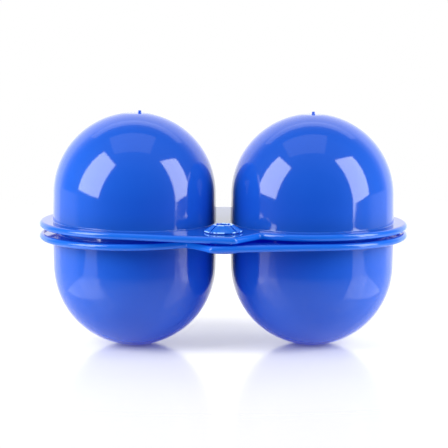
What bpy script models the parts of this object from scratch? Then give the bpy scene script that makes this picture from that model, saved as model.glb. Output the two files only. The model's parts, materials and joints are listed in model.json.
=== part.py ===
"""Carrying case for two eggs.

Two half shells come from one moulding: the upper one is the lower one turned over about the
front-to-back axis. A pin through their interleaved knuckles hinges them at the back, and a split
snap stud, pressed through a hole in both flanges, holds them shut at the front.

The case stands on the feet of its two lower cups. The origin is centred under it, +Z is up, the
snap faces -Y and the hinge pin runs along X. All sizes are in metres.
"""
import math

import bmesh
import bpy
from mathutils import Matrix, Vector
from mathutils.geometry import delaunay_2d_cdt

# Cups
CUP_R = 0.02605          # outer radius of the round end
WALL = 0.0012
CUP_X = 0.02845          # each cup's axis from the centre line
CUP_STRAIGHT = 0.0113    # from the round end's centre to the parting plane
DRAFT = 0.00015          # how much wider a cup is at the flange than at its round end
FOOT_R = 0.0035          # flat at each cup's pole
ROOT_FILLET = 0.0003     # where a cup meets the flange
CUP_RINGS = 8            # steps from the pole to the full radius
NUB_R = 0.0005           # gate nub left on top of each upper cup
NUB_HEIGHT = 0.0009
NUB_OFFSETS = (0.0015, 0.0)   # left nub sits off the cup's axis, towards the centre line

# Flange, measured from the parting plane
PARTING_GAP = 0.0013     # between the two flanges, away from the snap
FLANGE_THICKNESS = 0.00215       # at the bead
FLANGE_ROUND = 0.00105   # its edge is a bead that is nearly a half round
BEAD_WIDTH = 0.0014
BEAD_ROUND = 0.0002      # the bead's inner corner
RECESS = 0.0005          # how far the flange inside the bead stands back from the gap
FLANGE_R = 0.0305
TAB_CORNER = Vector((0.0037, -0.0366))
TAB_ROUND = 0.0016
NOTCH_ROUND = 0.0012
NOTCH_TILT = math.radians(54)    # how steeply the tab's short side runs back to the flange
HINGE_EDGE_Y = 0.0338
HINGE_EDGE_HALF = 0.0175

# Register: in each pair of cups one mouth has a lip that reaches into the other's bore
LIP_THICKNESS = 0.0007
LIP_CLEARANCE = 0.00035
LIP_REACH = 0.0016       # beyond the parting plane
LIP_ROOT = 0.0030        # depth where the lip starts to thin out into the cup wall
LIP_FADE = 0.0021        # depth over which it does
MOUTH_CHAMFER = 0.0002

# Snap
SNAP_Y = -0.0243
SNAP_HOLE_R = 0.0046
SNAP_PULL = 0.0004       # how far the snap draws each flange towards the parting plane
SNAP_PULL_SPREAD = 0.029
STUD_SHAFT_R = 0.0042
STUD_BORE_R = 0.0022
STUD_HEAD_R = 0.0058
STUD_HEAD = 0.0009
STUD_BARB_R = 0.0059
STUD_BARB_EDGE = 0.0003
STUD_TOP_R = 0.00305
STUD_TOP_RISE = 0.0025   # above the upper flange
STUD_TOP_CHAMFER = 0.0003
STUD_SLOT = 0.0006
STUD_SLOT_FLOOR = -0.0006
FINGERS = 4

# Hinge
HINGE_Y = 0.03605
KNUCKLE_R = 0.0021
KNUCKLE_BORE_R = 0.00105
KNUCKLE_LENGTH = 0.0072
KNUCKLE_GAP = 0.0003
ARM_TOP = -0.00075
ARM_ROOT = 0.0013        # how far an arm reaches into the bead
PIN_R = 0.0008
PIN_HEAD_R = 0.0015
PIN_HEAD = 0.0006
LID_SKEW = math.radians(0.45)    # the upper shell sits a little askew on the lower one

CLEARANCE = 0.0003       # between pieces that touch
SEGMENTS = 44            # round a cup
STUD_SEGMENTS = 48
PIN_SEGMENTS = 20
KNUCKLE_SEGMENTS = 24
CORNER_STEP = math.pi / 10       # round the small corners in plan
ROUND_STEPS = 4          # each quarter of the flange's edge
ROOT_STEPS = 3           # where a cup meets the flange
GRID = 0.005             # spacing of the points inside the flange's flat faces

SHELL_BLUE = (0.012, 0.093, 0.68, 1.0)
STUD_BLUE = (0.014, 0.11, 0.72, 1.0)
PIN_STEEL = (0.55, 0.56, 0.58, 1.0)

FOOT_SAG = CUP_R - math.sqrt(CUP_R ** 2 - FOOT_R ** 2)
PARTING_Z = CUP_STRAIGHT + CUP_R - FOOT_SAG
BEAD_IN = -PARTING_GAP / 2       # the bead's face at the gap, in a shell's own frame
FLANGE_IN = BEAD_IN - RECESS
FLANGE_OUT = BEAD_IN - FLANGE_THICKNESS
FLANGE_CUP_R = CUP_R + DRAFT
BORE_R = CUP_R - WALL


def main():
    """Clear the scene and build the case."""
    for old in list(bpy.data.objects):
        bpy.data.objects.remove(old)
    shell_blue = material("shell_blue", SHELL_BLUE, 0.12)
    stud_blue = material("stud_blue", STUD_BLUE, 0.18)
    pin_steel = material("pin_steel", PIN_STEEL, 0.3, 1.0)
    centre = parting_centre()
    raised = Matrix.Translation(centre)
    turned_over = Matrix.Rotation(math.pi + LID_SKEW, 4, "Y")
    add_shell("lower_shell", shell_blue, False, raised)
    add_shell("upper_shell", shell_blue, True, raised @ turned_over)
    add_snap_stud(stud_blue, centre)
    add_hinge_pin(pin_steel, centre)


def parting_centre():
    """Centre of the parting plane: the case stands on z = 0 with the origin under its middle."""
    front = min(point.y for point in flange_outline())
    return Vector((0.0, -(HINGE_Y + KNUCKLE_R + front) / 2, PARTING_Z))


# ---- half shells --------------------------------------------------------------------------------

def add_shell(name, made_of, nubs, placing):
    """A half shell with its two knuckles joined on."""
    mesh = half_shell(name, nubs)
    mesh.transform(placing)
    shell = add_object(name, mesh, made_of)
    pitch = KNUCKLE_LENGTH + KNUCKLE_GAP
    for i, low_x in enumerate((KNUCKLE_GAP / 2 - 2 * pitch, KNUCKLE_GAP / 2)):
        tool_mesh = knuckle(f"{name}_knuckle_{i}", low_x)
        tool_mesh.transform(placing)
        combine(shell, add_object(f"{name}_knuckle_{i}", tool_mesh, made_of), "UNION")


def half_shell(name, nubs):
    """One half shell in its own frame: parting plane at z = 0, cups hanging down."""
    bm = bmesh.new()
    outline = flange_outline()
    normals = inward(outline)
    rim = []
    for inset, z in rim_section():
        loop = loop_of(bm, [p + n * inset for p, n in zip(outline, normals)], z)
        if rim:
            bridge(bm, rim[-1], loop)
        rim.append(loop)

    outer_holes = []
    inner_holes = []
    for side, nub_shift in zip((-1, 1), reversed(NUB_OFFSETS)):
        centre = Vector((side * CUP_X, 0.0))
        outside = cup_outside(nubs, -side * nub_shift)
        outside_pole = turned(bm, centre, outside[:1])
        outer_holes.append(turned(bm, centre, outside[1:], outside_pole))
        inside_cup = cup_inside(side < 0)
        mouth = turned(bm, centre, inside_cup[:1])
        inner_holes.append(mouth)
        inside_pole = turned(bm, centre, inside_cup[1:], mouth)
        bm.faces.new(outside_pole)
        bm.faces.new(inside_pole)

    snap = Vector((0.0, SNAP_Y))
    hole_out = turned(bm, snap, [(SNAP_HOLE_R, FLANGE_OUT, 0.0)])
    hole_in = turned(bm, snap, [(SNAP_HOLE_R, FLANGE_IN, 0.0)], hole_out)
    fill_flat(bm, rim[0], outer_holes + [hole_out], GRID)
    fill_flat(bm, rim[-1], inner_holes + [hole_in], GRID)
    draw_in(bm)
    return finish_mesh(name, bm)


def cup_outside(nub, shift):
    """Outer profile of a cup as (radius, z, shift along x), from its pole to the flange."""
    foot_z = -PARTING_Z
    if nub:
        tip = foot_z - NUB_HEIGHT
        profile = [(0.6 * NUB_R, tip, shift), (NUB_R, tip + 0.3 * NUB_R, shift),
                   (NUB_R, foot_z, shift)]
    else:
        profile = [(0.4 * FOOT_R, foot_z, 0.0)]
    profile += round_end(CUP_R, FOOT_R)
    centre_r = FLANGE_CUP_R + ROOT_FILLET
    centre_z = FLANGE_OUT - ROOT_FILLET
    for i in range(ROOT_STEPS + 1):
        angle = math.pi / 2 * i / ROOT_STEPS
        profile.append((centre_r - ROOT_FILLET * math.cos(angle),
                        centre_z + ROOT_FILLET * math.sin(angle), 0.0))
    return profile


def cup_inside(has_lip):
    """Inner profile of a cup, from its mouth in the parting face down to its pole."""
    if has_lip:
        lip_out = BORE_R - LIP_CLEARANCE
        lip_in = lip_out - LIP_THICKNESS
        mouth = [(lip_out, FLANGE_IN), (lip_out, LIP_REACH - MOUTH_CHAMFER),
                 (lip_out - MOUTH_CHAMFER, LIP_REACH), (lip_in, LIP_REACH), (lip_in, -LIP_ROOT),
                 (BORE_R, -LIP_ROOT - LIP_FADE)]
    else:
        mouth = [(BORE_R + MOUTH_CHAMFER, FLANGE_IN), (BORE_R, FLANGE_IN - MOUTH_CHAMFER)]
    return [(r, z, 0.0) for r, z in mouth] + round_end(BORE_R, 0.1 * BORE_R)[::-1]


def round_end(radius, first_r):
    """Profile of a cup's round end, from first_r near its pole out to its full radius."""
    low = math.acos(first_r / radius)
    angles = [low * (1 - i / CUP_RINGS) for i in range(CUP_RINGS + 1)]
    return [(radius * math.cos(a), -CUP_STRAIGHT - radius * math.sin(a), 0.0) for a in angles]


def rim_section():
    """The flange's bead as (inset, z), from its outer face round to the recessed inner face."""
    section = quarter_round(0.0, FLANGE_ROUND, FLANGE_OUT, FLANGE_OUT + FLANGE_ROUND)
    section += quarter_round(0.0, FLANGE_ROUND, BEAD_IN, BEAD_IN - FLANGE_ROUND)[::-1]
    section += quarter_round(BEAD_WIDTH, BEAD_WIDTH - BEAD_ROUND, BEAD_IN, BEAD_IN - BEAD_ROUND)
    section.append((BEAD_WIDTH, FLANGE_IN))
    return section


def quarter_round(side, end, face_z, side_z):
    """Quarter round as (inset, z) from a flat face, at inset end, to a side wall."""
    angles = [math.pi / 2 * i / ROUND_STEPS for i in range(ROUND_STEPS + 1)]
    return [(side + (end - side) * (1 - math.sin(a)), side_z + (face_z - side_z) * math.cos(a))
            for a in angles]


def draw_in(bm):
    """Bend the flange towards the parting plane around the snap."""
    for vert in bm.verts:
        x, y, z = vert.co
        height = min(1.0, max(0.0, (z + CUP_STRAIGHT) / (FLANGE_OUT + CUP_STRAIGHT)))
        distance = math.hypot(x, y - SNAP_Y)
        vert.co.z += SNAP_PULL * height * math.exp(-(distance / SNAP_PULL_SPREAD) ** 2)


def knuckle(name, low_x):
    """One knuckle with its arm, as a closed mesh that reaches into the flange."""
    axis = Vector((HINGE_Y, 0.0))
    start = math.pi - math.asin(ARM_TOP / KNUCKLE_R)
    section = arc(axis, KNUCKLE_R, start, -math.pi / 2, math.tau / KNUCKLE_SEGMENTS)
    root = HINGE_EDGE_Y - ARM_ROOT
    section += [Vector((root, -KNUCKLE_R)), Vector((root, ARM_TOP))]
    bm = bmesh.new()
    ends = []
    for x in (low_x, low_x + KNUCKLE_LENGTH):
        outer = loop_of(bm, section, x)
        bore = loop_of(bm, circle(axis, KNUCKLE_BORE_R, KNUCKLE_SEGMENTS), x)
        fill_flat(bm, outer, [bore], 1.0)
        ends.append((outer, bore))
    for first, second in zip(*ends):
        bridge(bm, first, second)
    # built with the section in the XY plane and its length up Z: (x, y, z) becomes (z, x, y)
    bm.transform(Matrix(((0, 0, 1, 0), (1, 0, 0, 0), (0, 1, 0, 0), (0, 0, 0, 1))))
    return finish_mesh(name, bm)


# ---- stud and pin -------------------------------------------------------------------------------

def add_snap_stud(made_of, centre):
    """Split snap stud: a head below, a shaft through both flanges and four barbed fingers."""
    plate_out = -FLANGE_OUT - SNAP_PULL      # outer face of the upper flange at the snap
    head_top = -plate_out - CLEARANCE
    barb = plate_out + CLEARANCE
    top = plate_out + STUD_TOP_RISE
    profile = [(0.6 * STUD_HEAD_R, head_top - STUD_HEAD),
               (0.93 * STUD_HEAD_R, head_top - STUD_HEAD),
               (STUD_HEAD_R, head_top - 0.6 * STUD_HEAD), (STUD_HEAD_R, head_top),
               (STUD_SHAFT_R, head_top), (STUD_SHAFT_R, barb), (STUD_BARB_R, barb),
               (STUD_BARB_R, barb + STUD_BARB_EDGE), (STUD_TOP_R, top),
               (STUD_BORE_R + STUD_TOP_CHAMFER, top), (STUD_BORE_R, top - STUD_TOP_CHAMFER),
               (STUD_BORE_R, STUD_SLOT_FLOOR)]
    placing = Matrix.Translation(centre + Vector((0.0, SNAP_Y, 0.0)))
    mesh = turned_mesh("snap_stud", profile, STUD_SEGMENTS)
    mesh.transform(placing)
    stud = add_object("snap_stud", mesh, made_of)
    height = top - STUD_SLOT_FLOOR + CLEARANCE
    for i in range(FINGERS // 2):
        bm = bmesh.new()
        bmesh.ops.create_cube(bm, size=1.0)
        bm.transform(Matrix.Diagonal((4 * STUD_BARB_R, STUD_SLOT, height, 1.0)))
        bm.transform(Matrix.Translation((0.0, 0.0, STUD_SLOT_FLOOR + height / 2)))
        bm.transform(Matrix.Rotation(math.tau * (i + 0.5) / FINGERS, 4, "Z"))
        bm.transform(placing)
        name = f"snap_stud_slot_{i}"
        combine(stud, add_object(name, finish_mesh(name, bm), made_of), "DIFFERENCE")


def add_hinge_pin(made_of, centre):
    """Hinge pin with a domed head at each end, along X."""
    half = 2 * (KNUCKLE_LENGTH + KNUCKLE_GAP)
    head = [(0.5 * PIN_HEAD_R, half + PIN_HEAD), (PIN_HEAD_R, half + 0.3 * PIN_HEAD),
            (PIN_HEAD_R, half), (PIN_R, half)]
    profile = [(r, -z) for r, z in head] + head[::-1]
    mesh = turned_mesh("hinge_pin", profile, PIN_SEGMENTS)
    mesh.transform(Matrix.Rotation(math.pi / 2, 4, "Y"))
    pin = add_object("hinge_pin", mesh, made_of)
    pin.location = centre + Vector((0.0, HINGE_Y, 0.0))


# ---- outlines in plan ---------------------------------------------------------------------------

def flange_outline():
    """The lower flange's outline, counter-clockwise: right lobe, hinge edge, left lobe, tab."""
    right = Vector((CUP_X, 0.0))
    left = Vector((-CUP_X, 0.0))
    tab = Vector((-TAB_CORNER.x, TAB_CORNER.y))
    hinge_right = Vector((HINGE_EDGE_HALF, HINGE_EDGE_Y))
    hinge_left = Vector((-HINGE_EDGE_HALF, HINGE_EDGE_Y))

    from_tab = tangent_angle(right, FLANGE_R, tab, 1)
    to_hinge = tangent_angle(right, FLANGE_R, hinge_right, -1)
    right_lobe = arc(right, FLANGE_R, from_tab, to_hinge)
    from_hinge = tangent_angle(left, FLANGE_R, hinge_left, 1)

    # the tab's short side leaves the corner and meets the left lobe in a small concave round
    short_side = Vector((-math.cos(NOTCH_TILT), math.sin(NOTCH_TILT)))
    outside = Vector((-short_side.y, short_side.x))
    offset_from = tab + outside * NOTCH_ROUND - left
    along = -offset_from.dot(short_side)
    reach = FLANGE_R + NOTCH_ROUND
    miss = offset_from + short_side * along
    along -= math.sqrt(reach ** 2 - miss.length_squared)
    notch_centre = left + offset_from + short_side * along
    on_lobe = math.atan2(notch_centre.y, notch_centre.x - left.x)
    left_lobe = arc(left, FLANGE_R, from_hinge, on_lobe + math.tau)
    notch_from = on_lobe + math.pi
    notch_to = math.atan2(-outside.y, -outside.x)
    notch_to -= math.tau * round((notch_to - notch_from) / math.tau)
    notch = arc(notch_centre, NOTCH_ROUND, notch_from, notch_to, CORNER_STEP)

    hinge_start = fillet(right_lobe[-1], hinge_right, hinge_left, TAB_ROUND)
    hinge_end = fillet(hinge_right, hinge_left, left_lobe[0], TAB_ROUND)
    corner = fillet(notch[-1], tab, right_lobe[0], TAB_ROUND)
    stretches = [right_lobe, hinge_start, hinge_end, left_lobe, notch[1:], corner]
    points = []
    for stretch, following in zip(stretches, stretches[1:] + stretches[:1]):
        points += stretch
        if (following[0] - stretch[-1]).length > 1e-5:
            points += line(stretch[-1], following[0])
    return points


def arc(centre, radius, start, end, step=math.tau / SEGMENTS):
    """Points along an arc, both ends included."""
    count = max(1, math.ceil(abs(end - start) / step))
    angles = [start + (end - start) * i / count for i in range(count + 1)]
    return [centre + radius * Vector((math.cos(a), math.sin(a))) for a in angles]


def circle(centre, radius, segments=SEGMENTS):
    """Points of a full circle, counter-clockwise."""
    angles = [math.tau * i / segments for i in range(segments)]
    return [centre + radius * Vector((math.cos(a), math.sin(a))) for a in angles]


def line(start, end, step=GRID):
    """Points along a line, without its two ends."""
    count = max(1, round((end - start).length / step))
    return [start.lerp(end, i / count) for i in range(1, count)]


def tangent_angle(centre, radius, point, side):
    """Angle, seen from the circle's centre, of the tangent point of a line from a point."""
    away = point - centre
    return math.atan2(away.y, away.x) + side * math.acos(radius / away.length)


def fillet(before, corner, after, radius):
    """Round a convex or concave corner of a polygon that runs counter-clockwise."""
    into = (corner - before).normalized()
    out = (after - corner).normalized()
    turn = math.atan2(into.x * out.y - into.y * out.x, into.dot(out))
    side = math.copysign(1.0, turn)
    start = corner - into * radius * math.tan(abs(turn) / 2)
    normal = Vector((-into.y, into.x)) * side
    centre = start + normal * radius
    first = math.atan2(-normal.y, -normal.x)
    return arc(centre, radius, first, first + turn, CORNER_STEP)


def inward(points):
    """Unit normals that point into a counter-clockwise outline."""
    normals = []
    for before, after in zip(points[-1:] + points[:-1], points[1:] + points[:1]):
        along = (after - before).normalized()
        normals.append(Vector((-along.y, along.x)))
    return normals


def inside(point, loop):
    """Whether a point lies inside a closed loop."""
    hit = False
    for a, b in zip(loop, loop[1:] + loop[:1]):
        if (a.y > point.y) != (b.y > point.y):
            if point.x < a.x + (b.x - a.x) * (point.y - a.y) / (b.y - a.y):
                hit = not hit
    return hit


# ---- meshes -------------------------------------------------------------------------------------

def loop_of(bm, points, z):
    """Vertices at one height."""
    return [bm.verts.new((p.x, p.y, z)) for p in points]


def bridge(bm, first, second):
    """Quads between two loops with the same number of vertices."""
    count = len(first)
    for i in range(count):
        j = (i + 1) % count
        bm.faces.new((first[i], first[j], second[j], second[i]))


def turned(bm, centre, profile, joined_to=None, segments=SEGMENTS):
    """Loops for a profile of (radius, z, shift along x), each bridged to the one before it."""
    loop = joined_to
    for radius, z, shift in profile:
        following = loop_of(bm, circle(centre + Vector((shift, 0.0)), radius, segments), z)
        if loop:
            bridge(bm, loop, following)
        loop = following
    return loop


def turned_mesh(name, profile, segments):
    """Closed mesh of a (radius, z) profile turned about Z, whose end loops are capped."""
    bm = bmesh.new()
    rings = [(radius, z, 0.0) for radius, z in profile]
    axis = Vector((0.0, 0.0))
    first = turned(bm, axis, rings[:1], None, segments)
    last = turned(bm, axis, rings[1:], first, segments)
    bm.faces.new(first)
    bm.faces.new(last)
    return finish_mesh(name, bm)


def fill_flat(bm, outer, holes, spacing):
    """Fill between loops at one height with triangles, over a grid of inner points."""
    loops = [outer] + holes
    z = outer[0].co.z
    flat = [[v.co.xy for v in loop] for loop in loops]
    points = [p for loop in flat for p in loop]
    verts = [v for loop in loops for v in loop]
    edges = []
    for loop in loops:
        start = len(edges)
        edges += [(start + i, start + (i + 1) % len(loop)) for i in range(len(loop))]
    on_loops = list(points)
    steps = int(max(abs(p.x) for p in points) / spacing) + 1
    for i in range(-steps, steps + 1):
        for j in range(-steps, steps + 1):
            point = Vector(((i + 0.5 * (j % 2)) * spacing, j * spacing * math.sqrt(0.75)))
            if min((point - p).length for p in on_loops) < 0.6 * spacing:
                continue
            if inside(point, flat[0]) and not any(inside(point, hole) for hole in flat[1:]):
                points.append(point)
                verts.append(bm.verts.new((point.x, point.y, z)))
    # this output type keeps what lies inside the outer loop, so the holes are skipped here
    inside_outer = 1
    found = delaunay_2d_cdt(points, edges, [], inside_outer, 1e-7)
    places, triangles, origins = found[0], found[2], found[3]
    for triangle in triangles:
        middle = sum((places[i] for i in triangle), Vector((0.0, 0.0))) / 3
        if not any(inside(middle, hole) for hole in flat[1:]):
            bm.faces.new([verts[origins[i][0]] for i in triangle])


def finish_mesh(name, bm):
    """Turn the faces outward and write the mesh."""
    bmesh.ops.recalc_face_normals(bm, faces=bm.faces)
    mesh = bpy.data.meshes.new(name)
    bm.to_mesh(mesh)
    bm.free()
    return mesh


def add_object(name, mesh, made_of):
    """Link a mesh as a smooth-shaded object with one material."""
    mesh.materials.append(made_of)
    mesh.shade_smooth()
    mesh.set_sharp_from_angle(angle=math.radians(32))
    made = bpy.data.objects.new(name, mesh)
    bpy.context.scene.collection.objects.link(made)
    return made


def combine(target, tool, operation):
    """Add a Boolean of a tool to a target, and keep the tool as a guide only."""
    tool.display_type = "WIRE"
    tool.hide_render = True
    boolean = target.modifiers.new(tool.name, "BOOLEAN")
    boolean.operation = operation
    boolean.object = tool


def material(name, colour, roughness, metallic=0.0):
    """A plain Principled material."""
    made = bpy.data.materials.new(name)
    made.use_nodes = True
    shader = made.node_tree.nodes["Principled BSDF"]
    shader.inputs["Base Color"].default_value = colour
    shader.inputs["Roughness"].default_value = roughness
    shader.inputs["Metallic"].default_value = metallic
    return made


main()
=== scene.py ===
"""Looks of the two-egg carrying case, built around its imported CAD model.

Each CAD solid is replaced by a finely meshed piece of the same shape: rounded rims and fillets,
closely spaced rings on the cups, knuckles joined to the hinge edge and a split stud with four
rounded fingers. All sizes are in metres.
"""
import json
import math

import bmesh
import bpy
import numpy as np
from mathutils import Matrix, Vector
from mathutils.geometry import delaunay_2d_cdt


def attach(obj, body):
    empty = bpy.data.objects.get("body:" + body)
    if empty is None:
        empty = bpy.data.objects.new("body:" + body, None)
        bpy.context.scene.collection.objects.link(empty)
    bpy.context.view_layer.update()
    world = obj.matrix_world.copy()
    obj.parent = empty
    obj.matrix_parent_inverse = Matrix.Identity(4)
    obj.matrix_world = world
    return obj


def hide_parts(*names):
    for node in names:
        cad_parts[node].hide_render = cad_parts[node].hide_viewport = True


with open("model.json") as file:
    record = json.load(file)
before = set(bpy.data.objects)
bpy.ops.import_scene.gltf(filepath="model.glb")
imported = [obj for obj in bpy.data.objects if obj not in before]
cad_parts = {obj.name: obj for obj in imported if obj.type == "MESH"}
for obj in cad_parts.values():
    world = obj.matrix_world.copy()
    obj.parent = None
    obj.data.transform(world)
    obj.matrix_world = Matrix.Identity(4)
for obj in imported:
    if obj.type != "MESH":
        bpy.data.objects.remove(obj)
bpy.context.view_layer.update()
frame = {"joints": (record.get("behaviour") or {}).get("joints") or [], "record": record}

# Places that the frame gives
JOINT = frame["joints"][0]
FOOT = next(m for m in frame["record"]["mounts"] if m["name"] == "right_foot")["pos_m"]
CUP_X = FOOT[0]                              # each cup's axis from the centre line
CENTRE = Vector((0.0, FOOT[1], JOINT["pos_m"][2]))      # middle of the parting plane
HINGE_Y = JOINT["pos_m"][1] - FOOT[1]        # hinge axis behind the cups' axes
PARTING_Z = JOINT["pos_m"][2]                # height of the parting plane above the feet

# Cups
CUP_R = 0.02605
WALL = 0.0012
DRAFT = 0.00015
FOOT_R = 0.0035
FOOT_SAG = CUP_R - math.sqrt(CUP_R ** 2 - FOOT_R ** 2)
CUP_STRAIGHT = PARTING_Z - CUP_R + FOOT_SAG
ROOT_FILLET = 0.0003
NUB_R = 0.0005
NUB_HEIGHT = 0.0009
NUB_OFFSETS = (0.0015, 0.0)

# Flange, measured from the parting plane of a half shell in its own frame
PARTING_GAP = 0.0013
FLANGE_THICKNESS = 0.00215
FLANGE_ROUND = 0.00105
BEAD_WIDTH = 0.0014
BEAD_ROUND = 0.0002
RECESS = 0.0005
FLANGE_R = 0.0305
TAB_CORNER = Vector((0.0037, -0.0366))
TAB_ROUND = 0.0016
NOTCH_ROUND = 0.0012
NOTCH_TILT = math.radians(54)
HINGE_EDGE_Y = 0.0338
HINGE_EDGE_HALF = 0.0175
FLANGE_IN = -PARTING_GAP / 2
FLANGE_OUT = FLANGE_IN - FLANGE_THICKNESS
PLATE_IN = FLANGE_IN - RECESS
FLANGE_CUP_R = CUP_R + DRAFT
BORE_R = CUP_R - WALL

# Register: one mouth of each pair of cups has a lip that reaches into the other's bore
LIP_THICKNESS = 0.0007
LIP_CLEARANCE = 0.00035
LIP_REACH = 0.0016
LIP_ROOT = 0.0030
LIP_FADE = 0.0021
MOUTH_ROUND = 0.0002

# Snap
SNAP_Y = -0.0243
SNAP_HOLE_R = 0.0046
SNAP_HOLE_ROUND = 0.0002
SNAP_PULL = 0.0004
SNAP_PULL_SPREAD = 0.029
STUD_SHAFT_R = 0.0042
STUD_BORE_R = 0.0022
STUD_HEAD_R = 0.0058
STUD_HEAD = 0.0009
STUD_BARB_R = 0.0059
STUD_BARB_EDGE = 0.0003
STUD_TOP_R = 0.00305
STUD_TOP_RISE = 0.0025
STUD_SLOT = 0.0006
STUD_SLOT_FLOOR = -0.0006
STUD_HEAD_ROUND = 0.0004
STUD_EDGE_ROUND = 0.0002
STUD_BARB_ROUND = 0.00012
STUD_BORE_ROUND = 0.0003
STUD_BEVEL = 0.0001      # along the slots
STUD_BEVEL_ANGLE = math.radians(50)
FINGERS = 4

# Hinge
KNUCKLE_R = 0.0021
KNUCKLE_BORE_R = 0.00105
KNUCKLE_LENGTH = 0.0072
KNUCKLE_GAP = 0.0003
ARM_TOP = -0.00075
ARM_ROOT = 0.0013
PIN_R = 0.0008
PIN_HEAD_R = 0.0015
PIN_HEAD = 0.0006
PIN_HEAD_ROUND = 0.0001
LID_SKEW = math.radians(0.45)

CLEARANCE = 0.0003

# Looks
SHELL_BLUE = (0.0085, 0.080, 0.38)
STUD_BLUE = (0.010, 0.11, 0.42)
PIN_STEEL = (0.55, 0.56, 0.58)
PLASTIC_IOR = 1.49
SHELL_ROUGHNESS = 0.06
STUD_ROUGHNESS = 0.09
ROUGHNESS_SPREAD = 0.04  # how much rougher the cloudiest places are
CLOUD_SCALE = 45.0
CLOUD_STOPS = (0.3, 0.7)         # the colour changes between these values of the clouds
CLOUD_DARKEST = 0.93
WAVE_SCALE = 90.0
WAVE_STRENGTH = 0.05
WAVE_HEIGHT = 0.0002
WIRE_STRETCH = (40.0, 4000.0, 4000.0)    # the wire's lines run along it
WIRE_ROUGHNESS = (0.18, 0.38)
WIRE_STRENGTH = 0.3
WIRE_HEIGHT = 0.00002

# Painted light: emission that lifts the plastic's shadows and paints the rims bright, standing in for
# light let through the plastic. A shell's vertices carry a share of it: 0 is none, WALL_SHARE is the
# cups' full painted light and 1 is the rim's.
PAINTED_WALL_LIGHT = (0.0, 0.002, 0.185, 1.0)
PAINTED_RIM_LIGHT = (0.0, 0.055, 0.34, 1.0)
PAINTED_STUD_LIGHT = (0.0, 0.010, 0.20, 1.0)
WALL_SHARE = 0.5
GAP_SHARE = 0.35         # inside the gap between the flanges, lips included
RIM_FALL = 1.5           # a rim's share is this at its edge, limited to 1, and 0 where its round ends
PAINTED_LIGHT_DEPTH = (-0.003, 0.010)     # a cup's painted light grows between these depths below the parting plane and between these distances from the centre line, so less is painted next to the flange and between the cups, where they lie in shade
PAINTED_LIGHT_ASIDE = (0.003, 0.006)      # and between these distances from the centre line

# Painted highlights on the stud's edges: pale patches that stand in for glints
PAINTED_GLINT_BLUE = (0.35, 0.62, 0.95)
GLINT_PATCH_SCALE = 700.0
GLINT_PATCH_STOPS = (0.42, 0.52)        # patches fade in between these values of the noise
BARB_GLINT = 0.8 * STUD_BARB_EDGE         # half the height of each band of painted highlights
TOP_GLINT = 0.0001

# Studio: lamps as (name, place, turn in degrees, width and height, radiance, whether gloss shows it)
LAMPS = (("left_softbox", (-0.298, -0.169, 0.225), (74.6, 10.9, -69.8), (0.222, 0.349), 8.0, True),
         ("right_softbox", (0.373, -0.129, 0.211), (74.6, -13.9, 36.7), (0.255, 0.385), 7.8, True),
         ("top_panel", (-0.048, -0.065, 0.5), (0.0, 0.0, 0.0), (0.385, 0.27), 0.6, True),
         ("left_fill", (-0.5, 0.0, 0.1), (85.0, 0.0, -90.0), (0.4, 0.4), 3.0, False),
         ("right_fill", (0.5, 0.0, 0.1), (85.0, 0.0, 90.0), (0.4, 0.4), 3.0, False),
         ("left_table", (-0.179, -0.096, 0.0015), (180.0, 0.0, 36.0), (0.27, 0.055), 1.05, True),
         ("right_table", (0.186, -0.084, 0.0015), (180.0, 0.0, -31.0), (0.27, 0.055), 1.05, True),
         ("back_panel", (0.0, 0.344, 0.56), (-35.0, 0.0, 0.0), (0.9, 0.13), 0.75, True))
# radiance of the studio against the Y part of the direction, from the front (-1) to the back (1)
WORLD_BY_DEPTH = ((-1.0, 0.03), (-0.9, 0.08), (-0.8, 0.10), (-0.7, 0.16), (-0.4, 0.29),
                  (0.0, 0.25), (0.2, 0.17), (0.3, 0.17), (0.42, 0.28), (0.545, 0.65),
                  (0.66, 1.35), (1.0, 1.4))
TABLE_RADIANCE = 0.8             # of the studio below the horizon, beside and behind the case
TABLE_FROM = (-0.3, 0.05)        # it comes up between these Y parts of the direction
HORIZON_SOFTNESS = 0.01          # and over this much of the Z part, above and below level
SEEN_RADIANCE = 1.0              # of the studio as the camera sees it
FLOOR_WHITE = (0.84, 0.84, 0.85, 1.0)
FLOOR_ROUGHNESS = 0.15
FLOOR_CENTRE = (0.0, 0.10, 0.0)
FLOOR_FADE = (0.08, 0.30)        # the floor fades out between these distances from its centre

# Camera
CAMERA_ELEVATION = math.radians(8.0)
CAMERA_DISTANCE = 0.7
CAMERA_TARGET = Vector((0.00023, 0.0, PARTING_Z + 0.00147))
SENSOR_WIDTH = 36.0              # mm
LENS = 174.9375                  # focal length in mm
CAMERA_REACH = 100.0             # nothing farther away is seen

# Fineness of the visible meshes
SEGMENTS = 192
RINGS = 56
ROUND_STEPS = 6
GRID = 0.002
SUPPORT = 0.00025        # ring beside a round that keeps the flat's shading flat
SHARP = math.radians(40)         # edges that turn more than this are shaded sharp


# ---- outlines in plan ---------------------------------------------------------------------------

def arc(centre, radius, start, end, step=math.tau / SEGMENTS):
    """Points along an arc, both ends included."""
    count = max(1, math.ceil(abs(end - start) / step))
    angles = [start + (end - start) * i / count for i in range(count + 1)]
    return [centre + radius * Vector((math.cos(a), math.sin(a))) for a in angles]


def line(start, end, step=GRID / 2):
    """Points along a line, without its two ends."""
    count = max(1, round((end - start).length / step))
    return [start.lerp(end, i / count) for i in range(1, count)]


def tangent_angle(centre, radius, point, side):
    """Angle, seen from the circle's centre, of the tangent point of a line from a point."""
    away = point - centre
    return math.atan2(away.y, away.x) + side * math.acos(radius / away.length)


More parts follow.
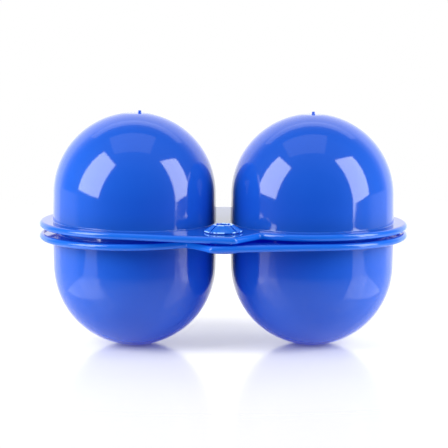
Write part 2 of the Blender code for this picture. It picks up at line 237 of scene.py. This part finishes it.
def fillet(before, corner, after, radius, step=math.pi / 24):
    """Round a convex or concave corner of a polygon that runs counter-clockwise."""
    into = (corner - before).normalized()
    out = (after - corner).normalized()
    turn = math.atan2(into.x * out.y - into.y * out.x, into.dot(out))
    side = math.copysign(1.0, turn)
    start = corner - into * radius * math.tan(abs(turn) / 2)
    normal = Vector((-into.y, into.x)) * side
    centre = start + normal * radius
    first = math.atan2(-normal.y, -normal.x)
    return arc(centre, radius, first, first + turn, step)


def flange_outline():
    """The lower flange's outline, counter-clockwise: right lobe, hinge edge, left lobe, tab."""
    right = Vector((CUP_X, 0.0))
    left = Vector((-CUP_X, 0.0))
    tab = Vector((-TAB_CORNER.x, TAB_CORNER.y))
    hinge_right = Vector((HINGE_EDGE_HALF, HINGE_EDGE_Y))
    hinge_left = Vector((-HINGE_EDGE_HALF, HINGE_EDGE_Y))

    from_tab = tangent_angle(right, FLANGE_R, tab, 1)
    to_hinge = tangent_angle(right, FLANGE_R, hinge_right, -1)
    right_lobe = arc(right, FLANGE_R, from_tab, to_hinge)
    from_hinge = tangent_angle(left, FLANGE_R, hinge_left, 1)

    # the tab's short side leaves the corner and meets the left lobe in a small concave round
    short_side = Vector((-math.cos(NOTCH_TILT), math.sin(NOTCH_TILT)))
    outside = Vector((-short_side.y, short_side.x))
    offset_from = tab + outside * NOTCH_ROUND - left
    along = -offset_from.dot(short_side)
    miss = offset_from + short_side * along
    along -= math.sqrt((FLANGE_R + NOTCH_ROUND) ** 2 - miss.length_squared)
    notch_centre = left + offset_from + short_side * along
    on_lobe = math.atan2(notch_centre.y, notch_centre.x - left.x)
    left_lobe = arc(left, FLANGE_R, from_hinge, on_lobe + math.tau)
    notch_from = on_lobe + math.pi
    notch_to = math.atan2(-outside.y, -outside.x)
    notch_to -= math.tau * round((notch_to - notch_from) / math.tau)
    notch = arc(notch_centre, NOTCH_ROUND, notch_from, notch_to, math.pi / 24)

    hinge_start = fillet(right_lobe[-1], hinge_right, hinge_left, TAB_ROUND)
    hinge_end = fillet(hinge_right, hinge_left, left_lobe[0], TAB_ROUND)
    corner = fillet(notch[-1], tab, right_lobe[0], TAB_ROUND)
    stretches = [right_lobe, hinge_start, hinge_end, left_lobe, notch[1:], corner]
    points = []
    for stretch, following in zip(stretches, stretches[1:] + stretches[:1]):
        points += stretch
        if (following[0] - stretch[-1]).length > 1e-5:
            points += line(stretch[-1], following[0])
    return points


def inward(points):
    """Unit normals that point into a counter-clockwise outline."""
    normals = []
    for before, after in zip(points[-1:] + points[:-1], points[1:] + points[:1]):
        along = (after - before).normalized()
        normals.append(Vector((-along.y, along.x)))
    return normals


# ---- mesh tools ---------------------------------------------------------------------------------

def loop_of(bm, points, z):
    """Vertices at one height."""
    return [bm.verts.new((p.x, p.y, z)) for p in points]


def bridge(bm, first, second):
    """Quads between two loops with the same number of vertices."""
    count = len(first)
    for i in range(count):
        j = (i + 1) % count
        bm.faces.new((first[i], first[j], second[j], second[i]))


def circle(centre, radius, segments=SEGMENTS):
    """Points of a full circle, counter-clockwise."""
    angles = [math.tau * i / segments for i in range(segments)]
    return [centre + radius * Vector((math.cos(a), math.sin(a))) for a in angles]


def turned(bm, centre, profile, first=None, segments=SEGMENTS):
    """Loops for a profile of (radius, z, shift along x), each bridged to the one before it."""
    for radius, z, shift in profile:
        loop = loop_of(bm, circle(centre + Vector((shift, 0.0)), radius, segments), z)
        if first:
            bridge(bm, first, loop)
        first = loop
    return first


def rounded(points, corners, steps=ROUND_STEPS):
    """A (radius, z) profile whose corners, given as {index: radius}, are rounded."""
    flat = [Vector(p) for p in points]
    result = []
    for i, point in enumerate(flat):
        if i in corners and 0 < i < len(flat) - 1:
            before, after = flat[i - 1], flat[i + 1]
            turn = (point - before).angle(after - point)
            result += fillet(before, point, after, corners[i], turn / steps)
        else:
            result.append(point)
    return [tuple(p) for p in result]


def inside(points, loop):
    """Which of an array of points lie inside a closed loop."""
    a = np.array([tuple(p) for p in loop])
    b = np.roll(a, -1, axis=0)
    x, y = points[:, :1], points[:, 1:]
    crosses = (a[:, 1] > y) != (b[:, 1] > y)
    rise = np.where(np.abs(b[:, 1] - a[:, 1]) < 1e-12, 1e-12, b[:, 1] - a[:, 1])
    left = x < a[:, 0] + (b[:, 0] - a[:, 0]) * (y - a[:, 1]) / rise
    return (np.sum(crosses & left, axis=1) % 2).astype(bool)


def fill_flat(bm, outer, holes, spacing):
    """Fill between loops at one height with triangles, over a grid of inner points."""
    loops = [outer] + holes
    z = outer[0].co.z
    flat = [[v.co.xy for v in loop] for loop in loops]
    points = [p for loop in flat for p in loop]
    verts = [v for loop in loops for v in loop]
    edges = []
    start = 0
    for loop in loops:
        count = len(loop)
        edges += [(start + i, start + (i + 1) % count) for i in range(count)]
        start += count
    on_edges = np.array([tuple(p) for p in points])
    steps = int(np.abs(on_edges).max() / spacing) + 1
    i, j = np.meshgrid(np.arange(-steps, steps + 1), np.arange(-steps, steps + 1))
    grid = np.stack([(i + 0.5 * (j % 2)) * spacing, j * spacing * math.sqrt(0.75)], -1).reshape(-1, 2)
    grid = grid[inside(grid, flat[0])]
    for hole in flat[1:]:
        grid = grid[~inside(grid, hole)]
    gap = np.sqrt(((grid[:, None] - on_edges[None]) ** 2).sum(-1)).min(1)
    for x, y in grid[gap > 0.6 * spacing]:
        points.append(Vector((x, y)))
        verts.append(bm.verts.new((x, y, z)))
    faces = delaunay_2d_cdt(points, edges, [], 1, 1e-7)
    used = [verts[origin[0]] for origin in faces[3]]
    middles = np.array([tuple(sum((faces[0][k] for k in face), Vector((0, 0))) / len(face))
                        for face in faces[2]])
    in_hole = np.zeros(len(middles), bool)
    for hole in flat[1:]:
        in_hole |= inside(middles, hole)
    for face, skipped in zip(faces[2], in_hole):
        if not skipped:
            bm.faces.new([used[k] for k in face])


def finish_mesh(name, bm):
    """Turn the faces outward and write the mesh."""
    bmesh.ops.recalc_face_normals(bm, faces=bm.faces)
    mesh = bpy.data.meshes.new(name)
    bm.to_mesh(mesh)
    bm.free()
    return mesh


def smooth(mesh):
    """Shade a mesh smooth, apart from its sharp edges."""
    mesh.shade_smooth()
    mesh.set_sharp_from_angle(angle=SHARP)


def add_piece(name, mesh, made_of):
    """Link a mesh as a smooth-shaded object with one material."""
    mesh.materials.clear()
    mesh.materials.append(made_of)
    smooth(mesh)
    made = bpy.data.objects.new(name, mesh)
    bpy.context.scene.collection.objects.link(made)
    return made


def apply_tools(piece, tools):
    """Put the result of a piece's modifiers into its mesh and remove the tools that they used."""
    bpy.context.view_layer.update()
    graph = bpy.context.evaluated_depsgraph_get()
    mesh = bpy.data.meshes.new_from_object(piece.evaluated_get(graph))
    piece.modifiers.clear()
    piece.data = mesh
    for tool in tools:
        bpy.data.objects.remove(tool)
    smooth(mesh)


# ---- half shells --------------------------------------------------------------------------------

def round_end(radius, first_r):
    """Profile points of a cup's round end, from near its pole out to its full radius."""
    low = math.acos(first_r / radius)
    angles = [low * (1 - i / RINGS) for i in range(RINGS + 1)]
    return [(radius * math.cos(a), -CUP_STRAIGHT - radius * math.sin(a)) for a in angles]


def cup_outside(nub, shift):
    """Outer profile of a cup as (radius, z, shift), from its pole to the flange."""
    foot_z = -PARTING_Z
    if nub:
        tip = foot_z - NUB_HEIGHT
        sides = [(0.05 * NUB_R, tip), (NUB_R, tip), (NUB_R, foot_z), (3 * NUB_R, foot_z)]
        sides = rounded(sides, {1: 0.55 * NUB_R, 2: 0.5 * NUB_R}, 4)
        profile = [(r, z, shift) for r, z in sides]
    else:
        profile = [(share * FOOT_R, foot_z, 0.0) for share in (0.02, 0.5, 0.93)]
    profile += [(r, z, 0.0) for r, z in round_end(CUP_R, FOOT_R)]
    side = [(CUP_R, -CUP_STRAIGHT), (FLANGE_CUP_R, FLANGE_OUT),
            (FLANGE_CUP_R + 2 * ROOT_FILLET + SUPPORT, FLANGE_OUT)]
    straight = [Vector(side[0]).lerp(Vector(side[1]), i / 6) for i in range(1, 6)]
    profile += [(p.x, p.y, 0.0) for p in straight]
    profile += [(r, z, 0.0) for r, z in rounded(side, {1: ROOT_FILLET}, 8)[1:]]
    return profile


def cup_inside(has_lip):
    """Inner profile of a cup, from its mouth in the parting face down to its pole."""
    if has_lip:
        lip_out = BORE_R - LIP_CLEARANCE
        lip_in = lip_out - LIP_THICKNESS
        corners = [(lip_out + 2 * MOUTH_ROUND, PLATE_IN), (lip_out, PLATE_IN),
                   (lip_out, LIP_REACH), (lip_in, LIP_REACH), (lip_in, -LIP_ROOT),
                   (BORE_R, -LIP_ROOT - LIP_FADE)]
        rounds = {1: MOUTH_ROUND, 2: MOUTH_ROUND, 3: MOUTH_ROUND, 4: LIP_ROOT / 2}
    else:
        corners = [(BORE_R + MOUTH_ROUND + SUPPORT, PLATE_IN), (BORE_R, PLATE_IN)]
        rounds = {1: MOUTH_ROUND}
    corners.append((BORE_R, -CUP_STRAIGHT))
    mouth = rounded(corners, rounds, 4)[:-1]
    end = round_end(BORE_R, 0.005 * BORE_R)[::-1]
    return [(r, z, 0.0) for r, z in mouth + end]


def rim_section():
    """The flange's rounded edge as (inset, z), from its outer face round to its inner face."""
    flat = FLANGE_ROUND + SUPPORT
    corners = [(flat, FLANGE_OUT), (0.0, FLANGE_OUT), (0.0, FLANGE_IN),
               (BEAD_WIDTH, FLANGE_IN), (BEAD_WIDTH, PLATE_IN)]
    return rounded(corners, {1: FLANGE_ROUND, 2: FLANGE_ROUND, 3: BEAD_ROUND}, 10)


def grown(value, start, end):
    """How far a value is from start to end, as a smooth share from 0 to 1."""
    share = min(1.0, max(0.0, (value - start) / (end - start)))
    return share * share * (3.0 - 2.0 * share)


def draw_in(bm):
    """Bend the flange towards the parting plane around the snap."""
    for vert in bm.verts:
        x, y, z = vert.co
        height = min(1.0, max(0.0, (z + CUP_STRAIGHT) / (FLANGE_OUT + CUP_STRAIGHT)))
        distance = math.hypot(x, y - SNAP_Y)
        vert.co.z += SNAP_PULL * height * math.exp(-(distance / SNAP_PULL_SPREAD) ** 2)


def half_shell(name, nubs):
    """One half shell in its own frame: parting plane at z = 0, cups hanging down."""
    bm = bmesh.new()
    painted_light = bm.verts.layers.float.new("painted_light")
    outline = flange_outline()
    normals = inward(outline)
    rim = []
    for inset, z in rim_section():
        loop = loop_of(bm, [p + n * inset for p, n in zip(outline, normals)], z)
        # painted light on the rim: full at its edge, none where its round ends
        for vert in loop:
            vert[painted_light] = min(1.0, max(0.0, RIM_FALL * (1.0 - inset / FLANGE_ROUND)))
        if rim:
            bridge(bm, rim[-1], loop)
        rim.append(loop)

    outer_holes = []
    inner_holes = []
    for side, nub_shift in zip((-1, 1), NUB_OFFSETS[::-1]):
        centre = Vector((side * CUP_X, 0.0))
        outside = cup_outside(nubs, -side * nub_shift)
        pole = turned(bm, centre, outside[:1])
        outer_holes.append(turned(bm, centre, outside[1:], pole))
        bm.faces.new(pole)
        inside_cup = cup_inside(side < 0)
        mouth = turned(bm, centre, inside_cup[:1])
        inner_holes.append(mouth)
        bm.faces.new(turned(bm, centre, inside_cup[1:], mouth))

    snap = Vector((0.0, SNAP_Y))
    far = SNAP_HOLE_R + SNAP_HOLE_ROUND + SUPPORT
    hole = [(far, FLANGE_OUT), (SNAP_HOLE_R, FLANGE_OUT), (SNAP_HOLE_R, PLATE_IN), (far, PLATE_IN)]
    section = [(r, z, 0.0) for r, z in rounded(hole, {1: SNAP_HOLE_ROUND, 2: SNAP_HOLE_ROUND}, 4)]
    hole_out = turned(bm, snap, section[:1], None, 96)
    hole_in = turned(bm, snap, section[1:], hole_out, 96)
    fill_flat(bm, rim[0], outer_holes + [hole_out], GRID)
    fill_flat(bm, rim[-1], inner_holes + [hole_in], GRID)
    # painted light on the cups, growing with depth and distance from the centre line, and a fixed
    # share in the gap
    for vert in bm.verts:
        wall = grown(-vert.co.z, *PAINTED_LIGHT_DEPTH) * grown(abs(vert.co.x), *PAINTED_LIGHT_ASIDE)
        in_gap = vert.co.z > FLANGE_OUT + FLANGE_THICKNESS / 2
        vert[painted_light] = max(vert[painted_light], GAP_SHARE if in_gap else WALL_SHARE * wall)
    draw_in(bm)
    return finish_mesh(name, bm)


def knuckle(name, low_x):
    """One knuckle with its arm, as a closed mesh that reaches into the flange."""
    axis = Vector((HINGE_Y, 0.0))
    start = math.pi - math.asin(ARM_TOP / KNUCKLE_R)
    section = arc(axis, KNUCKLE_R, start, -math.pi / 2, math.tau / 72)
    root = HINGE_EDGE_Y - ARM_ROOT
    section += [Vector((root, -KNUCKLE_R)), Vector((root, ARM_TOP))]
    bm = bmesh.new()
    ends = []
    for x in (low_x, low_x + KNUCKLE_LENGTH):
        outer = loop_of(bm, section, x)
        bore = loop_of(bm, circle(axis, KNUCKLE_BORE_R, 48), x)
        fill_flat(bm, outer, [bore], 1.0)
        ends.append((outer, bore))
    for first, second in zip(*ends):
        bridge(bm, first, second)
    # built with the section in the XY plane and its length up Z: (x, y, z) becomes (z, x, y)
    bm.transform(Matrix(((0, 0, 1, 0), (1, 0, 0, 0), (0, 1, 0, 0), (0, 0, 0, 1))))
    return finish_mesh(name, bm)


def add_shell(name, node, body, made_of, nubs, placing):
    """A half shell with its knuckles joined on."""
    mesh = half_shell(name, nubs)
    mesh.transform(placing)
    shell = add_piece(name, mesh, made_of)
    pitch = KNUCKLE_LENGTH + KNUCKLE_GAP
    tools = []
    for i, low_x in enumerate((-2 * pitch + KNUCKLE_GAP / 2, KNUCKLE_GAP / 2)):
        tool_mesh = knuckle(f"{name}_knuckle_{i}", low_x)
        tool_mesh.transform(placing)
        tool = add_piece(f"{name}_knuckle_{i}", tool_mesh, made_of)
        join = shell.modifiers.new(f"knuckle_{i}", "BOOLEAN")
        join.operation = "UNION"
        join.object = tool
        tools.append(tool)
    apply_tools(shell, tools)
    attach(shell, body)
    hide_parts(node)
    return shell


# ---- stud and pin -------------------------------------------------------------------------------

def turned_mesh(name, profile, segments):
    """Closed mesh of a (radius, z) profile turned about Z, whose end loops are capped."""
    bm = bmesh.new()
    rings = [(radius, z, 0.0) for radius, z in profile]
    first = turned(bm, Vector((0.0, 0.0)), rings[:1], None, segments)
    last = turned(bm, Vector((0.0, 0.0)), rings[1:], first, segments)
    bm.faces.new(first)
    bm.faces.new(last)
    return finish_mesh(name, bm)


def add_snap_stud(made_of):
    """Split snap stud: a head below, a shaft through both flanges and four barbed fingers."""
    plate_out = -FLANGE_OUT - SNAP_PULL
    head_top = -plate_out - CLEARANCE
    barb = plate_out + CLEARANCE
    top = plate_out + STUD_TOP_RISE
    profile = [(0.2 * STUD_HEAD_R, head_top - STUD_HEAD), (STUD_HEAD_R, head_top - STUD_HEAD),
               (STUD_HEAD_R, head_top), (STUD_SHAFT_R, head_top), (STUD_SHAFT_R, barb),
               (STUD_BARB_R, barb), (STUD_BARB_R, barb + STUD_BARB_EDGE), (STUD_TOP_R, top),
               (STUD_BORE_R, top), (STUD_BORE_R, STUD_SLOT_FLOOR),
               (0.1 * STUD_BORE_R, STUD_SLOT_FLOOR)]
    rounds = {1: STUD_HEAD_ROUND, 2: STUD_EDGE_ROUND, 5: STUD_BARB_ROUND, 6: STUD_BARB_ROUND,
              7: STUD_EDGE_ROUND, 8: STUD_BORE_ROUND}
    mesh = turned_mesh("snap_stud_look", rounded(profile, rounds, 4), 144)
    placing = Matrix.Translation(CENTRE + Vector((0.0, SNAP_Y, 0.0)))
    mesh.transform(placing)
    stud = add_piece("snap_stud_look", mesh, made_of)
    slot_height = top - STUD_SLOT_FLOOR + CLEARANCE
    tools = []
    for i in range(FINGERS // 2):
        bm = bmesh.new()
        bmesh.ops.create_cube(bm, size=1.0)
        bm.transform(Matrix.Diagonal((4 * STUD_BARB_R, STUD_SLOT, slot_height, 1.0)))
        bm.transform(Matrix.Translation((0.0, 0.0, STUD_SLOT_FLOOR + slot_height / 2)))
        bm.transform(Matrix.Rotation(math.tau * (i + 0.5) / FINGERS, 4, "Z"))
        bm.transform(placing)
        tool = add_piece(f"slot_cutter_{i}", finish_mesh(f"slot_cutter_{i}", bm), made_of)
        cut = stud.modifiers.new(f"slot_{i}", "BOOLEAN")
        cut.operation = "DIFFERENCE"
        cut.object = tool
        tools.append(tool)
    bevel = stud.modifiers.new("edges", "BEVEL")
    bevel.width = STUD_BEVEL
    bevel.segments = 3
    bevel.limit_method = "ANGLE"
    bevel.angle_limit = STUD_BEVEL_ANGLE
    apply_tools(stud, tools)
    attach(stud, "base")
    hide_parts("snap_stud")
    return stud


def add_hinge_pin(made_of):
    """Hinge pin with a domed head at each end, along X."""
    half = 2 * (KNUCKLE_LENGTH + KNUCKLE_GAP)
    end = [(0.05 * PIN_HEAD_R, half + PIN_HEAD), (PIN_HEAD_R, half + PIN_HEAD),
           (PIN_HEAD_R, half), (PIN_R, half)]
    head = rounded(end, {1: 0.9 * PIN_HEAD, 2: PIN_HEAD_ROUND}, 8)
    profile = [(r, -z) for r, z in head] + head[::-1]
    mesh = turned_mesh("hinge_pin_look", profile, 48)
    mesh.transform(Matrix.Rotation(math.pi / 2, 4, "Y"))
    mesh.transform(Matrix.Translation(CENTRE + Vector((0.0, HINGE_Y, 0.0))))
    pin = add_piece("hinge_pin_look", mesh, made_of)
    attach(pin, "base")
    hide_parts("hinge_pin")
    return pin


# ---- materials ----------------------------------------------------------------------------------

def new_material(name):
    """A material with its node tree and shader."""
    made = bpy.data.materials.new(name)
    made.use_nodes = True
    tree = made.node_tree
    return made, tree, tree.nodes["Principled BSDF"]


def add_node(tree, kind, **settings):
    """A node with its settings and input values."""
    node = tree.nodes.new(kind)
    for key, value in settings.items():
        if hasattr(node, key):
            setattr(node, key, value)
        else:
            node.inputs[key.replace("_", " ")].default_value = value
    return node


def moulded_plastic(name, colour, roughness):
    """Glossy moulded polypropylene: an even painted glow as emission, cloudy colour and gloss, slight
    sink waves.
    """
    made, tree, shader = new_material(name)
    link = tree.links.new
    shader.inputs["IOR"].default_value = PLASTIC_IOR
    # painted light: an even emission over the whole part; on the shells it is set by place instead
    shader.inputs["Emission Color"].default_value = PAINTED_STUD_LIGHT
    shader.inputs["Emission Strength"].default_value = 1.0
    where = add_node(tree, "ShaderNodeTexCoord").outputs["Object"]

    cloud = add_node(tree, "ShaderNodeTexNoise", Scale=CLOUD_SCALE, Detail=3.0)
    link(where, cloud.inputs["Vector"])
    tint = add_node(tree, "ShaderNodeValToRGB")
    dark, full = tint.color_ramp.elements
    dark.position, full.position = CLOUD_STOPS
    dark.color = [CLOUD_DARKEST * c for c in colour] + [1.0]
    full.color = (*colour, 1.0)
    link(cloud.outputs["Fac"], tint.inputs["Fac"])
    link(tint.outputs["Color"], shader.inputs["Base Color"])

    gloss = add_node(tree, "ShaderNodeMapRange", To_Min=roughness,
                     To_Max=roughness + ROUGHNESS_SPREAD)
    link(cloud.outputs["Fac"], gloss.inputs["Value"])
    link(gloss.outputs["Result"], shader.inputs["Roughness"])

    waves = add_node(tree, "ShaderNodeTexNoise", Scale=WAVE_SCALE, Detail=1.0)
    link(where, waves.inputs["Vector"])
    bump = add_node(tree, "ShaderNodeBump", Strength=WAVE_STRENGTH, Distance=WAVE_HEIGHT)
    link(waves.outputs["Fac"], bump.inputs["Height"])
    link(bump.outputs["Normal"], shader.inputs["Normal"])
    return made


def paint_light_by_place(made):
    """Let the painted light (emission) follow the shares that the mesh carries."""
    tree = made.node_tree
    share = add_node(tree, "ShaderNodeAttribute", attribute_name="painted_light")
    ramp = add_node(tree, "ShaderNodeValToRGB")
    stops = ramp.color_ramp.elements
    stops[0].color = (0.0, 0.0, 0.0, 1.0)
    stops[1].color = PAINTED_RIM_LIGHT
    stops.new(WALL_SHARE).color = PAINTED_WALL_LIGHT
    tree.links.new(share.outputs["Fac"], ramp.inputs["Fac"])
    tree.links.new(ramp.outputs["Color"], tree.nodes["Principled BSDF"].inputs["Emission Color"])
    return made


def paint_edge_glints(made, colour, bands):
    """Painted highlights: pale patches along level edges, given as (height, half width), that stand
    in for glints.
    """
    tree = made.node_tree
    link = tree.links.new
    shader = tree.nodes["Principled BSDF"]
    where = add_node(tree, "ShaderNodeTexCoord").outputs["Object"]
    place = add_node(tree, "ShaderNodeSeparateXYZ")
    link(where, place.inputs["Vector"])
    patches = add_node(tree, "ShaderNodeTexNoise", Scale=GLINT_PATCH_SCALE, Detail=1.0)
    link(where, patches.inputs["Vector"])
    glinting = add_node(tree, "ShaderNodeMapRange", From_Min=GLINT_PATCH_STOPS[0], From_Max=GLINT_PATCH_STOPS[1])
    link(patches.outputs["Fac"], glinting.inputs["Value"])
    edges = None
    for height, half_width in bands:
        band = add_node(tree, "ShaderNodeMath", operation="COMPARE")
        band.inputs[1].default_value = height
        band.inputs[2].default_value = half_width
        link(place.outputs["Z"], band.inputs[0])
        both = add_node(tree, "ShaderNodeMath", operation="MAXIMUM")
        link(band.outputs["Value"], both.inputs[0])
        if edges:
            link(edges, both.inputs[1])
        else:
            both.inputs[1].default_value = 0.0
        edges = both.outputs["Value"]
    share = add_node(tree, "ShaderNodeMath", operation="MULTIPLY")
    link(edges, share.inputs[0])
    link(glinting.outputs["Result"], share.inputs[1])
    mix = add_node(tree, "ShaderNodeMix", data_type="RGBA")
    plain = shader.inputs["Base Color"].links[0].from_socket
    link(share.outputs["Value"], mix.inputs["Factor"])
    link(plain, mix.inputs[6])
    mix.inputs[7].default_value = (*colour, 1.0)
    link(mix.outputs[2], shader.inputs["Base Color"])
    return made


def drawn_wire(name, colour):
    """Bright drawn steel wire: fine lines along the pin."""
    made, tree, shader = new_material(name)
    link = tree.links.new
    shader.inputs["Metallic"].default_value = 1.0
    shader.inputs["Base Color"].default_value = (*colour, 1.0)
    where = add_node(tree, "ShaderNodeTexCoord").outputs["Object"]
    stretch = add_node(tree, "ShaderNodeMapping", Scale=WIRE_STRETCH)
    link(where, stretch.inputs["Vector"])
    lines = add_node(tree, "ShaderNodeTexNoise", Scale=1.0, Detail=4.0)
    link(stretch.outputs["Vector"], lines.inputs["Vector"])
    gloss = add_node(tree, "ShaderNodeMapRange", To_Min=WIRE_ROUGHNESS[0],
                     To_Max=WIRE_ROUGHNESS[1])
    link(lines.outputs["Fac"], gloss.inputs["Value"])
    link(gloss.outputs["Result"], shader.inputs["Roughness"])
    bump = add_node(tree, "ShaderNodeBump", Strength=WIRE_STRENGTH, Distance=WIRE_HEIGHT)
    link(lines.outputs["Fac"], bump.inputs["Height"])
    link(bump.outputs["Normal"], shader.inputs["Normal"])
    return made


# ---- studio -------------------------------------------------------------------------------------

def add_floor():
    """Plain pale floor that fades out around the case."""
    bm = bmesh.new()
    bmesh.ops.create_circle(bm, segments=SEGMENTS, radius=FLOOR_FADE[1], cap_ends=True)
    made, tree, shader = new_material("floor_white")
    shader.inputs["Base Color"].default_value = FLOOR_WHITE
    shader.inputs["Roughness"].default_value = FLOOR_ROUGHNESS
    link = tree.links.new
    where = add_node(tree, "ShaderNodeTexCoord").outputs["Object"]
    away = add_node(tree, "ShaderNodeVectorMath", operation="LENGTH")
    link(where, away.inputs[0])
    fade = add_node(tree, "ShaderNodeMapRange", interpolation_type="SMOOTHSTEP",
                    From_Min=FLOOR_FADE[0], From_Max=FLOOR_FADE[1], To_Min=1.0, To_Max=0.0)
    link(away.outputs["Value"], fade.inputs["Value"])
    link(fade.outputs["Result"], shader.inputs["Alpha"])
    floor = add_piece("floor", finish_mesh("floor", bm), made)
    floor.location = FLOOR_CENTRE
    return floor


def add_lamp(name, place, turn, size, radiance, in_gloss):
    """Rectangular light whose face has the given radiance, unseen by the camera."""
    lamp = bpy.data.lights.new(name, "AREA")
    lamp.shape = "RECTANGLE"
    lamp.size, lamp.size_y = size
    lamp.energy = radiance * math.pi * size[0] * size[1]
    made = bpy.data.objects.new(name, lamp)
    made.location = place
    made.rotation_euler = [math.radians(angle) for angle in turn]
    made.visible_camera = False
    made.visible_glossy = in_gloss
    bpy.context.scene.collection.objects.link(made)
    return made


def add_world():
    """Studio around the case: bright behind, dark in front, white to the camera."""
    world = bpy.data.worlds.new("studio")
    bpy.context.scene.world = world
    world.use_nodes = True
    tree = world.node_tree
    link = tree.links.new
    back = tree.nodes["Background"]
    where = add_node(tree, "ShaderNodeTexCoord").outputs["Generated"]
    parts = add_node(tree, "ShaderNodeSeparateXYZ")
    link(where, parts.inputs["Vector"])
    share = add_node(tree, "ShaderNodeMapRange", From_Min=-1.0)
    link(parts.outputs["Y"], share.inputs["Value"])
    ramp = add_node(tree, "ShaderNodeValToRGB")
    stops = ramp.color_ramp.elements
    brightest = max(radiance for _, radiance in WORLD_BY_DEPTH)
    for i, (depth, radiance) in enumerate(WORLD_BY_DEPTH):
        at_end = i in (0, len(WORLD_BY_DEPTH) - 1)
        stop = stops[i] if at_end else stops.new((depth + 1) / 2)
        stop.color = [radiance / brightest] * 3 + [1.0]
    link(share.outputs["Result"], ramp.inputs["Fac"])
    scaled = add_node(tree, "ShaderNodeMath", operation="MULTIPLY")
    link(ramp.outputs["Color"], scaled.inputs[0])
    scaled.inputs[1].default_value = brightest
    below = add_node(tree, "ShaderNodeMapRange", From_Min=HORIZON_SOFTNESS,
                     From_Max=-HORIZON_SOFTNESS)
    link(parts.outputs["Z"], below.inputs["Value"])
    aside = add_node(tree, "ShaderNodeMapRange", From_Min=TABLE_FROM[0], From_Max=TABLE_FROM[1],
                     To_Max=TABLE_RADIANCE)
    link(parts.outputs["Y"], aside.inputs["Value"])
    table = add_node(tree, "ShaderNodeMath", operation="MULTIPLY")
    link(below.outputs["Result"], table.inputs[0])
    link(aside.outputs["Result"], table.inputs[1])
    around = add_node(tree, "ShaderNodeMath", operation="MAXIMUM")
    link(scaled.outputs["Value"], around.inputs[0])
    link(table.outputs["Value"], around.inputs[1])
    eye = add_node(tree, "ShaderNodeLightPath")
    seen = add_node(tree, "ShaderNodeMix", B=SEEN_RADIANCE)
    link(eye.outputs["Is Camera Ray"], seen.inputs["Factor"])
    link(around.outputs["Value"], seen.inputs["A"])
    link(seen.outputs["Result"], back.inputs["Strength"])
    back.inputs["Color"].default_value = (1.0, 1.0, 1.0, 1.0)


def add_camera():
    """Camera in front of the snap, a little above the case."""
    away = Vector((0.0, -math.cos(CAMERA_ELEVATION), math.sin(CAMERA_ELEVATION)))
    lens = bpy.data.cameras.new("camera")
    lens.sensor_width = SENSOR_WIDTH
    lens.lens = LENS
    lens.clip_end = CAMERA_REACH
    made = bpy.data.objects.new("camera", lens)
    made.location = CAMERA_TARGET + away * CAMERA_DISTANCE
    made.rotation_euler = (-away).to_track_quat("-Z", "Y").to_euler()
    bpy.context.scene.collection.objects.link(made)
    bpy.context.scene.camera = made


def main():
    """Build the looks and the studio."""
    add_camera()
    raised = Matrix.Translation(CENTRE)
    turned_over = Matrix.Rotation(math.pi + LID_SKEW, 4, "Y")
    add_shell("lower_shell_look", "lower_shell", "base",
              paint_light_by_place(moulded_plastic("lower_plastic", SHELL_BLUE, SHELL_ROUGHNESS)),
              False, raised)
    add_shell("upper_shell_look", "upper_shell", "lid",
              paint_light_by_place(moulded_plastic("upper_plastic", SHELL_BLUE, SHELL_ROUGHNESS)),
              True, raised @ turned_over)
    # painted highlights in patches along the barb's edge and the fingers' tops
    barb = PARTING_Z - FLANGE_OUT - SNAP_PULL + CLEARANCE
    bands = ((barb + STUD_BARB_EDGE / 2, BARB_GLINT),
             (barb - CLEARANCE + STUD_TOP_RISE, TOP_GLINT))
    add_snap_stud(paint_edge_glints(moulded_plastic("stud_plastic", STUD_BLUE, STUD_ROUGHNESS),
                             PAINTED_GLINT_BLUE, bands))
    add_hinge_pin(drawn_wire("pin_wire", PIN_STEEL))
    add_floor()
    add_world()
    for lamp in LAMPS:
        add_lamp(*lamp)
    bpy.context.scene.view_settings.view_transform = "Standard"


main()
